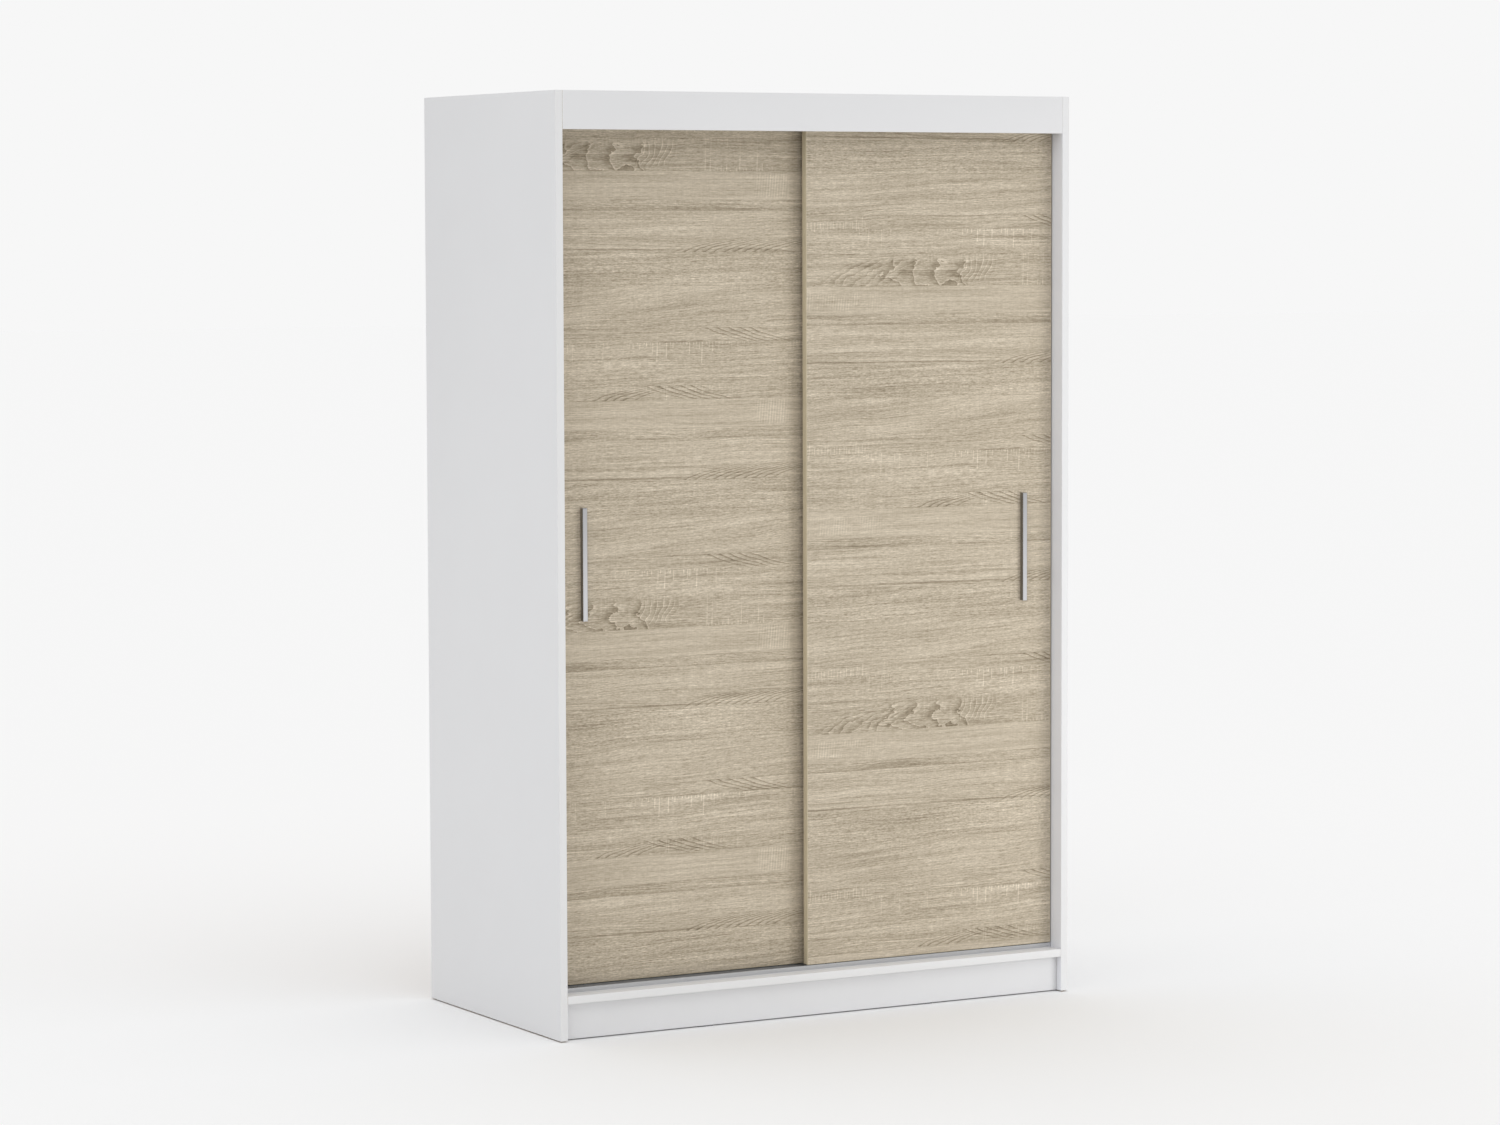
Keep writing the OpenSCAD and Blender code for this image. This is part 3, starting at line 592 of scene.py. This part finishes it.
        foot = stroke * (length * FLAME_FOOT_LENGTH - height).rise(*TICK_END)
        foot = foot * chance.above(FLAME_FOOT_GAPS) * u.window(*FLAME_FOOT) * self.flame
        level = level + foot * FLAME_FOOT_STRENGTH
        least, more = PLANK_FOOT_LENGTH
        foot = stroke * (length * more + least - height).rise(*TICK_END) * u.fall(*PLANK_FOOT)
        level = level + foot * self.in_plank(7) * PLANK_FOOT_STRENGTH

        comb = ((u + depth * COMB_LEAN) / COMB_PITCH).frac() - 0.5
        comb = comb.abs().fall(*COMB_TOOTH) * (1.0 - self.from_plank(2))
        whole = u.window(*COMB_SPAN) * depth.window(*COMB_DEPTH)
        worn = u.fall(*WORN_COMB_SPAN) * depth.window(*WORN_COMB_DEPTH)
        worn = worn * self.jitter.rise(*WORN_COMB_RANGE)
        least, more = COMB_STRENGTH
        return level + comb * (whole + worn) * (reach * more + least) * COMB_LEVEL

    def seams(self):
        """The joints between the planks where they show, from 0 to 1."""
        edge = self.net.math("MINIMUM", self.depth, self.height)
        parts = self.net.noise(self.u / SEAM_PARTS + self.index * SEAM_SEED, self.half)
        return edge.fall(*SEAM_WIDTH) * parts.rise(*SEAM_PARTS_RANGE)

    def level_and_relief(self):
        """Brightness in display steps, and the relief of the pores and seams from 0 to 1."""
        level, fine, pores = self.fibres()
        seam = self.seams()
        dark_foot = self.height.fall(*DARK_FOOT) * self.in_plank(2)
        level = level + self.share("tone") + self.flame * FLAME_TONE
        level = level + self.arcs() + self.flame_figure() + self.saw_marks()
        level = level - seam * SEAM_STRENGTH - dark_foot * DARK_FOOT_STRENGTH
        relief = pores * RELIEF_PORES + seam * RELIEF_SEAMS - fine * RELIEF_FIBRES
        return level, relief


def oak_board(name, shift_u, shift_v):
    """The print on a door. shift_u and shift_v place the door on the endless print."""
    net = Net(name)
    x, _, z = net.place()
    level, relief = OakPrint(net, x + shift_u, z + shift_v).level_and_relief()
    rough = net.smooth(level, *OAK_ROUGH)
    colour = net.colour(OAK_COLOUR, level)
    return net.finish(colour, rough, -relief, depth=0.05 * MM, specular=0.4)


def oak_edging():
    """Printed edge band: streaks along the strip."""
    net = Net("oak_edging")
    along, across, _ = net.attribute("grain")
    streak = net.noise(along / 90, across / 1.1, detail=3.0, rough=0.6) * 16.0
    fibre = net.noise(along / 14, across / 0.35, detail=2.0, rough=0.6) * 10.0
    pores = net.noise(along / 8 + 40, across / 0.5).rise(0.2, 0.45)
    level = streak + fibre - pores * 12.0
    rough = net.smooth(level, *EDGE_BAND_ROUGH)
    return net.finish(net.colour(EDGE_BAND_COLOUR, level), rough, -pores, depth=0.03 * MM)


# ---------------------------------------------------------------- other finishes

# Each finish adds up layers of noise. The number after place is the size of a layer's features
# in millimetres, and the factors of a level are display steps.
CHIP_COLOUR = (178, 148, 108)
CHIP_ROUGH = (-40, 40, 0.95, 0.8)
LACQUER_COLOUR = (224, 224, 222)
FIBRE_COLOUR = (154, 128, 101)
LACQUER_END = 1.2  # how far behind the middle of a back sheet its white side ends
CHROME_COLOUR = (214, 216, 219)
RUBBED_TOP = (1500, 1514)  # heights between which the rail becomes scuffed
BEECH_COLOUR = (206, 172, 128)


def white_board(name, base, roughness, depth):
    """Melamine or lacquered edging: a fine orange-peel relief and a barely uneven tone."""
    net = Net(name)
    place = net.place()
    cloud = net.noise_3d(place, 170) * 1.6
    peel = net.noise_3d(place, 1.6, rough=0.6)
    speck = net.noise_3d(place, 0.7, detail=1.0, shift=(50, 0, 0))
    colour = net.colour(base, cloud + speck * 0.9)
    rough = peel * 0.07 + cloud * 0.01 + roughness
    return net.finish(colour, rough, peel + speck * 0.4, depth, specular=0.45)


def chipboard():
    """The raw edge of a board: flat chips of several tones, fine at both faces."""
    net = Net("chipboard")
    x, y, z = place = net.place()
    wobble = net.noise_3d(place, 6) * 1.2
    edge, chip = net.cells(x / 2.4 + wobble, y / 2.4 + wobble, z / 1.6 + wobble)
    grit = net.noise_3d(place, 0.5)
    level = chip * 44.0 - 26.0 + grit * 14.0 - edge.rise(0.45, 0.8) * 26.0
    rough = net.smooth(level, *CHIP_ROUGH)
    colour = net.colour(CHIP_COLOUR, level)
    return net.finish(colour, rough, grit - edge * 1.5, depth=0.25 * MM, specular=0.2)


def fibreboard():
    """Back sheet: white lacquer towards the inside, bare brown fibres on the back."""
    net = Net("back_board")
    place = net.place()
    low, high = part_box("back_panel_left")
    bare = place[Y].above((low.y + high.y) / 2 / MM + LACQUER_END)
    lying = net.noise_3d(place, (3.5, 1, 0.9), detail=3.0, rough=0.7)
    upright = net.noise_3d(place, (0.9, 1, 3.2), detail=3.0, rough=0.7, shift=(0, 0, 9))
    fibre = lying + upright
    cloud = net.noise_3d(place, (60, 1, 60), detail=3.0, rough=0.6)
    shive = net.noise_3d(place, (2.2, 1, 0.8), detail=1.0, shift=(70, 0, 0)).rise(0.25, 0.5)
    brown = net.colour(FIBRE_COLOUR, fibre * 12.0 + cloud * 14.0 - shive * 22.0)
    peel = net.noise_3d(place, 1.9)
    white = net.colour(LACQUER_COLOUR, peel * 1.5 + cloud * 2.0)
    mixed = net.node("ShaderNodeMix", {0: bare, 6: white, 7: brown}, data_type="RGBA")
    rough = bare * 0.38 + peel * 0.06 + 0.48
    height = fibre * bare + peel * 0.3
    colour = Term(net, mixed.outputs[2])
    return net.finish(colour, rough, height, depth=0.12 * MM, specular=0.35)


def drawn_out(axis, length, width):
    """Sizes of a pattern that is long along one axis."""
    return [length if each == axis else width for each in (X, Y, Z)]


def brushed(name, base, axis, roughness, wear):
    """Drawn or brushed metal with hairlines along an axis; wear is how uneven its tone is."""
    net = Net(name)
    place = net.place()
    hair = net.noise_3d(place, drawn_out(axis, 38.0, 0.3), detail=3.0, rough=0.65)
    band = net.noise_3d(place, drawn_out(axis, 160.0, 1.1))
    smear = net.noise_3d(place, 28, detail=3.0, rough=0.6)
    level = (hair * 1.6 + band + smear * 0.6) * wear
    rough = hair * 0.05 + smear * 0.04 + roughness
    return net.finish(net.colour(base, level), rough, hair, depth=0.006 * MM, metallic=0.9)


def plated(name, base, roughness, spangle):
    """Zinc or nickel plating: faint spangles, stains and fine pitting."""
    net = Net(name)
    x, y, z = place = net.place()
    _, flake = net.cells(x / 1.8, y / 1.8, z / 1.8)
    stain = net.noise_3d(place, 5, detail=3.0, rough=0.6)
    pit = net.noise_3d(place, 0.25)
    level = (flake - 0.5) * spangle + stain * 14.0 + pit * 4.0
    rough = stain * 0.12 + flake * 0.06 + roughness
    height = pit + flake * 0.3
    return net.finish(net.colour(base, level), rough, height, depth=0.02 * MM, metallic=1.0)


def chrome():
    """Chromed rail: mirror-like, with hairline scuffs on its top where hangers slide."""
    net = Net("chromed_steel")
    place = net.place()
    scuff = net.noise_3d(place, (0.3, 9, 9), rough=0.7).rise(0.25, 0.6)
    film = net.noise_3d(place, (45, 12, 12), detail=3.0, rough=0.6)
    rough = scuff * place[Z].rise(*RUBBED_TOP) * 0.22 + film * 0.05 + 0.1
    colour = net.colour(CHROME_COLOUR, film * 5.0)
    return net.finish(colour, rough, scuff, depth=0.01 * MM, metallic=1.0)


def moulded(name, base, roughness, texture=0.6):
    """Injection-moulded plastic: a fine spark-eroded grain and faint flow marks."""
    net = Net(name)
    place = net.place()
    grain = net.noise_3d(place, texture, rough=0.6)
    flow = net.noise_3d(place, (22, 14, 22), detail=3.0, rough=0.6)
    colour = net.colour(base, grain * 2.1 + flow * 3.0)
    rough = grain * 0.1 + flow * 0.06 + roughness
    return net.finish(colour, rough, grain, depth=0.04 * MM, specular=0.45)


def beech():
    """Fluted dowels of beech: rays and short pores along their length."""
    net = Net("beech")
    place = net.place()
    ray = net.noise_3d(place, (9, 0.7, 0.7), detail=3.0, rough=0.6)
    fleck = net.noise_3d(place, (2.6, 0.4, 0.4), detail=1.0, shift=(0, 30, 0)).rise(0.2, 0.45)
    colour = net.colour(BEECH_COLOUR, ray * 18.0 - fleck * 22.0)
    return net.finish(colour, ray * 0.08 + 0.6, ray - fleck, depth=0.08 * MM)


# ---------------------------------------------------------------- pieces from CAD nodes

# Sides of a box, as (axis, direction).
LEFT, RIGHT, FRONT, REAR, FOOT, HEAD = (X, -1), (X, 1), (Y, -1), (Y, 1), (Z, -1), (Z, 1)
WELD = 1e-6  # points this close are the same
FLAT = math.radians(0.3)  # faces that turn less are one
SHARP = math.radians(15)  # edges that turn less are shaded smooth
ROUND_STEPS = 4
ROUND_PROFILE = 0.5  # a quarter of a circle
NEARLY = 1.01  # a rounded edge reaches this far from its side, in radii, with some slack
FACING = 0.5  # least share of a face's normal that points out of the side it belongs to


def face_side(face, lo, hi, reach):
    """The side of the box that a face lies on or next to, or None for a wall inside."""
    centre = face.calc_center_median()
    near = [
        (face.normal[axis] * sign, (axis, sign))
        for axis in (X, Y, Z)
        for sign, limit in ((-1, lo[axis]), (1, hi[axis]))
        if abs(centre[axis] - limit) < reach
    ]
    facing, side = max(near, key=lambda found: found[0], default=(0, None))
    return side if facing > FACING else None


def rounded_copy(node, name, radius, materials, paint=None, grain=None):
    """A new piece with the node's shape whose outer edges are rounded.

    paint(side) gives the material's number for a face on that side of the box; a side of None
    is a wall of a hole or pocket. grain(face, point) gives the vector stored at each corner.
    """
    source = frame["nodes"][node]
    lo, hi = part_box(node)
    bm = bmesh.new()
    bm.from_mesh(source.data)
    bmesh.ops.remove_doubles(bm, verts=bm.verts, dist=WELD)
    bmesh.ops.dissolve_limit(bm, angle_limit=FLAT, verts=bm.verts, edges=bm.edges)

    def planes(vertex):
        """The sides of the box that the vertex lies on."""
        return {
            (axis, sign)
            for axis in (X, Y, Z)
            for sign, limit in ((-1, lo[axis]), (1, hi[axis]))
            if abs(vertex.co[axis] - limit) < WELD
        }

    outer = [e for e in bm.edges if len(planes(e.verts[0]) & planes(e.verts[1])) >= 2]
    bmesh.ops.bevel(
        bm, geom=outer, offset=radius, offset_type="OFFSET", segments=ROUND_STEPS,
        profile=ROUND_PROFILE, affect="EDGES", clamp_overlap=False,
    )
    bmesh.ops.triangulate(bm, faces=[f for f in bm.faces if len(f.verts) > 4])
    bm.normal_update()
    for face in bm.faces:
        face.smooth = True
        if paint:
            face.material_index = paint(face_side(face, lo, hi, radius * NEARLY))
    for edge in bm.edges:
        if len(edge.link_faces) == 2:
            edge.smooth = edge.calc_face_angle(0) < SHARP
    if grain:
        layer = bm.loops.layers.float_vector.new("grain")
        for face in bm.faces:
            for loop in face.loops:
                loop[layer] = grain(face, loop.vert.co)
    mesh = bpy.data.meshes.new(name)
    bm.to_mesh(mesh)
    bm.free()
    for material in materials:
        mesh.materials.append(material)

    piece = bpy.data.objects.new(name, mesh)
    scene.collection.objects.link(piece)
    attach(piece, source["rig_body"])
    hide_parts(node)
    return piece


def board(node, radius, raw, materials):
    """A melamine board. materials: of its faces, of its edging, of its raw sides and holes."""
    lo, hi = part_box(node)
    size = hi - lo
    thin = min((X, Y, Z), key=lambda axis: size[axis])

    def paint(side):
        if side is None or side in raw:
            return 2
        return 0 if side[0] == thin else 1

    return rounded_copy(node, "board_" + node, radius, materials, paint)


def strip_grain(node):
    """For rounded_copy: how far a point is along and across a frame of edge banding."""
    low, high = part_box(node)

    def grain(face, point):
        middle = face.calc_center_median()
        to_side = min(middle.x - low.x, high.x - middle.x)
        to_end = min(middle.z - low.z, high.z - middle.z)
        return Vector((point.z if to_side < to_end else point.x, point.y, 0)) / MM

    return grain


# ---------------------------------------------------------------- stage and light

FLOOR_HALF = 60.0
FLOOR_WHITE = 0.95
BACKDROP = 0.93  # how bright the empty studio looks, behind the object and far out on the floor
SKY = 0.37  # how bright it is as a light

# Broad lights far away. source is where one comes from, spread how wide it is in degrees.
Sun = namedtuple("Sun", "source spread strength tint")
OVERHEAD = Sun((0.0, 0.0, 1.0), 115, 1.9, (1.0, 1.0, 1.0))
FILL = Sun((-1.0, -0.42, 0.22), 50, 0.55, (0.95, 0.97, 1.0))
# Faint and cool, for the right panel only: light bounced off the doors is too warm there.
GLOW = Sun((-1.0, -0.15, 0.1), 20, 0.26, (0.5, 0.62, 1.0))

SOFTBOX_PLACE = Vector((2.0, -2.5, 0.6))
SOFTBOX_TARGET = Vector((0.0, -0.3, 0.3))
SOFTBOX_SIZE = (1.4, 1.1)
SOFTBOX_WATTS = 23.0


def grey(value):
    return (value, value, value, 1)


def make_floor():
    h = FLOOR_HALF
    mesh = bpy.data.meshes.new("floor")
    mesh.from_pydata([(-h, -h, 0), (h, -h, 0), (h, h, 0), (-h, h, 0)], [], [(0, 1, 2, 3)])
    floor = bpy.data.objects.new("floor", mesh)
    scene.collection.objects.link(floor)
    net = Net("floor")
    net.feed(net.bsdf.inputs["Base Color"], grey(FLOOR_WHITE))
    net.feed(net.bsdf.inputs["Roughness"], 1.0)
    net.feed(net.bsdf.inputs["Specular IOR Level"], 0.0)
    mesh.materials.append(net.material)
    return floor


def add_light(data, place, toward, receivers):
    """A light that shines in a direction, on all or on what a light-linking collection says."""
    light = bpy.data.objects.new(data.name, data)
    light.location = place
    light.rotation_euler = toward.to_track_quat("-Z", "Y").to_euler()
    if receivers:
        light.light_linking.receiver_collection = receivers
    light.visible_glossy = False
    scene.collection.objects.link(light)


def add_sun(name, sun, receivers=None):
    data = bpy.data.lights.new(name, "SUN")
    data.angle, data.energy, data.color = math.radians(sun.spread), sun.strength, sun.tint
    add_light(data, (0, 0, 0), -Vector(sun.source), receivers)


def make_sky():
    """A world that is white to the camera and lights evenly at its own strength."""
    world = bpy.data.worlds.new("studio")
    world.use_nodes = True
    tree = world.node_tree
    shown = tree.nodes["Background"]
    shown.inputs["Color"].default_value = grey(BACKDROP)
    lit = tree.nodes.new("ShaderNodeBackground")
    lit.inputs["Color"].default_value = grey(SKY)
    mix = tree.nodes.new("ShaderNodeMixShader")
    to_camera = tree.nodes.new("ShaderNodeLightPath").outputs["Is Camera Ray"]
    tree.links.new(to_camera, mix.inputs[0])
    tree.links.new(lit.outputs[0], mix.inputs[1])
    tree.links.new(shown.outputs[0], mix.inputs[2])
    tree.links.new(mix.outputs[0], tree.nodes["World Output"].inputs["Surface"])
    scene.world = world


def make_lights(floor):
    """Broad lights overhead and on the left, and a softbox in front.

    Only the sky and the overhead light reach the floor, so it runs evenly into the backdrop.
    """
    floor_off = bpy.data.collections.new("floor_left_out")
    floor_off.objects.link(floor)
    floor_off.collection_objects[0].light_linking.link_state = "EXCLUDE"
    add_sun("overhead", OVERHEAD)
    add_sun("fill", FILL, floor_off)
    data = bpy.data.lights.new("key", "AREA")
    data.shape, data.energy = "RECTANGLE", SOFTBOX_WATTS
    data.size, data.size_y = SOFTBOX_SIZE
    add_light(data, SOFTBOX_PLACE, SOFTBOX_TARGET - SOFTBOX_PLACE, floor_off)


def add_glow(piece):
    receivers = bpy.data.collections.new("glow_receivers")
    receivers.objects.link(piece)
    add_sun("glow", GLOW, receivers)


# ---------------------------------------------------------------- build

# Boards, as (radius of the outer edges in millimetres, raw sides).
SHELF = (0.6, (LEFT, RIGHT, REAR))
PLINTH = (1.5, (LEFT, RIGHT, HEAD))
BOARDS = {
    "side_panel_left": (0.7, (FOOT, REAR)),
    "side_panel_right": (0.7, (FOOT, REAR)),
    "top_panel": (0.5, (LEFT, RIGHT, FRONT, REAR)),
    "bottom_panel": (0.9, (LEFT, RIGHT, REAR)),
    "fascia": (0.7, (LEFT, RIGHT)),
    "plinth_front": PLINTH,
    "plinth_rear": PLINTH,
    "plinth_brace": (0.4, (FRONT, REAR, HEAD, FOOT)),
    "partition": (0.6, (REAR, HEAD, FOOT)),
    "shelf_1": SHELF,
    "shelf_2": SHELF,
    "shelf_3": SHELF,
    "shelf_4": SHELF,
    "hat_shelf": SHELF,
}
DOOR_RADIUS = 0.15 * MM
EDGE_BAND_RADIUS = 0.7 * MM
HANDLE_RADIUS = 0.9 * MM
# Where each door lies on the endless print, as (u, v).
PRINT_SHIFT = {"left": (0.0, 0.0), "right": (-740.0, 234.0)}

make_camera()
make_sky()
make_lights(make_floor())
scene.view_settings.view_transform = "Standard"

melamine = white_board("white_melamine", (227, 227, 228), 0.46, 0.03 * MM)
edging = white_board("white_edging", (230, 230, 230), 0.34, 0.012 * MM)
chips = chipboard()
oak_band = oak_edging()
handle_face = brushed("handle_aluminium", (226, 226, 228), Z, 0.4, 2.0)
# The sides of the pulls are a darker, warmer copy of the aluminium: painted shade and a painted
# reflection of the oak doors beside them.
handle_sides_painted_shade = brushed("handle_sides_painted_shade", (146, 141, 135), Z, 0.45, 2.0)

finishes = {
    "back_board": fibreboard(),
    "anodised_aluminium": brushed("anodised_aluminium", (212, 213, 215), X, 0.36, 4.0),
    "chromed_steel": chrome(),
    "zinc_fitting": plated("zinc_fitting", (186, 188, 190), 0.3, 10.0),
    "zinc_steel": plated("zinc_steel", (176, 179, 182), 0.34, 20.0),
    "white_plastic": moulded("white_plastic", (222, 221, 217), 0.42),
    "grey_plastic": moulded("grey_plastic", (92, 93, 96), 0.5),
    "wheel_plastic": moulded("wheel_plastic", (60, 61, 64), 0.36, 0.9),
    "beech": beech(),
}
for name, slot in cad_slots.items():
    if slot in finishes:
        frame["nodes"][name].data.materials[0] = finishes[slot]

boards = {
    node: board(node, radius * MM, raw, (melamine, edging, chips))
    for node, (radius, raw) in BOARDS.items()
}
add_glow(boards["side_panel_right"])

for side, shift in PRINT_SHIFT.items():
    rounded_copy(
        "door_" + side, "leaf_board_" + side, DOOR_RADIUS,
        (oak_board("oak_decor_" + side, *shift), chips),
        lambda where: 0 if where in (FRONT, REAR) else 1,
    )
    band = "edge_band_" + side
    rounded_copy(
        band, "leaf_edging_" + side, EDGE_BAND_RADIUS, (oak_band,), grain=strip_grain(band)
    )
    # The left and right sides of each pull take that darker copy: painted shade and a painted
    # reflection of the oak.
    rounded_copy(
        "handle_" + side, "pull_" + side, HANDLE_RADIUS, (handle_face, handle_sides_painted_shade),
        lambda where: 1 if where in (LEFT, RIGHT) else 0,
    )
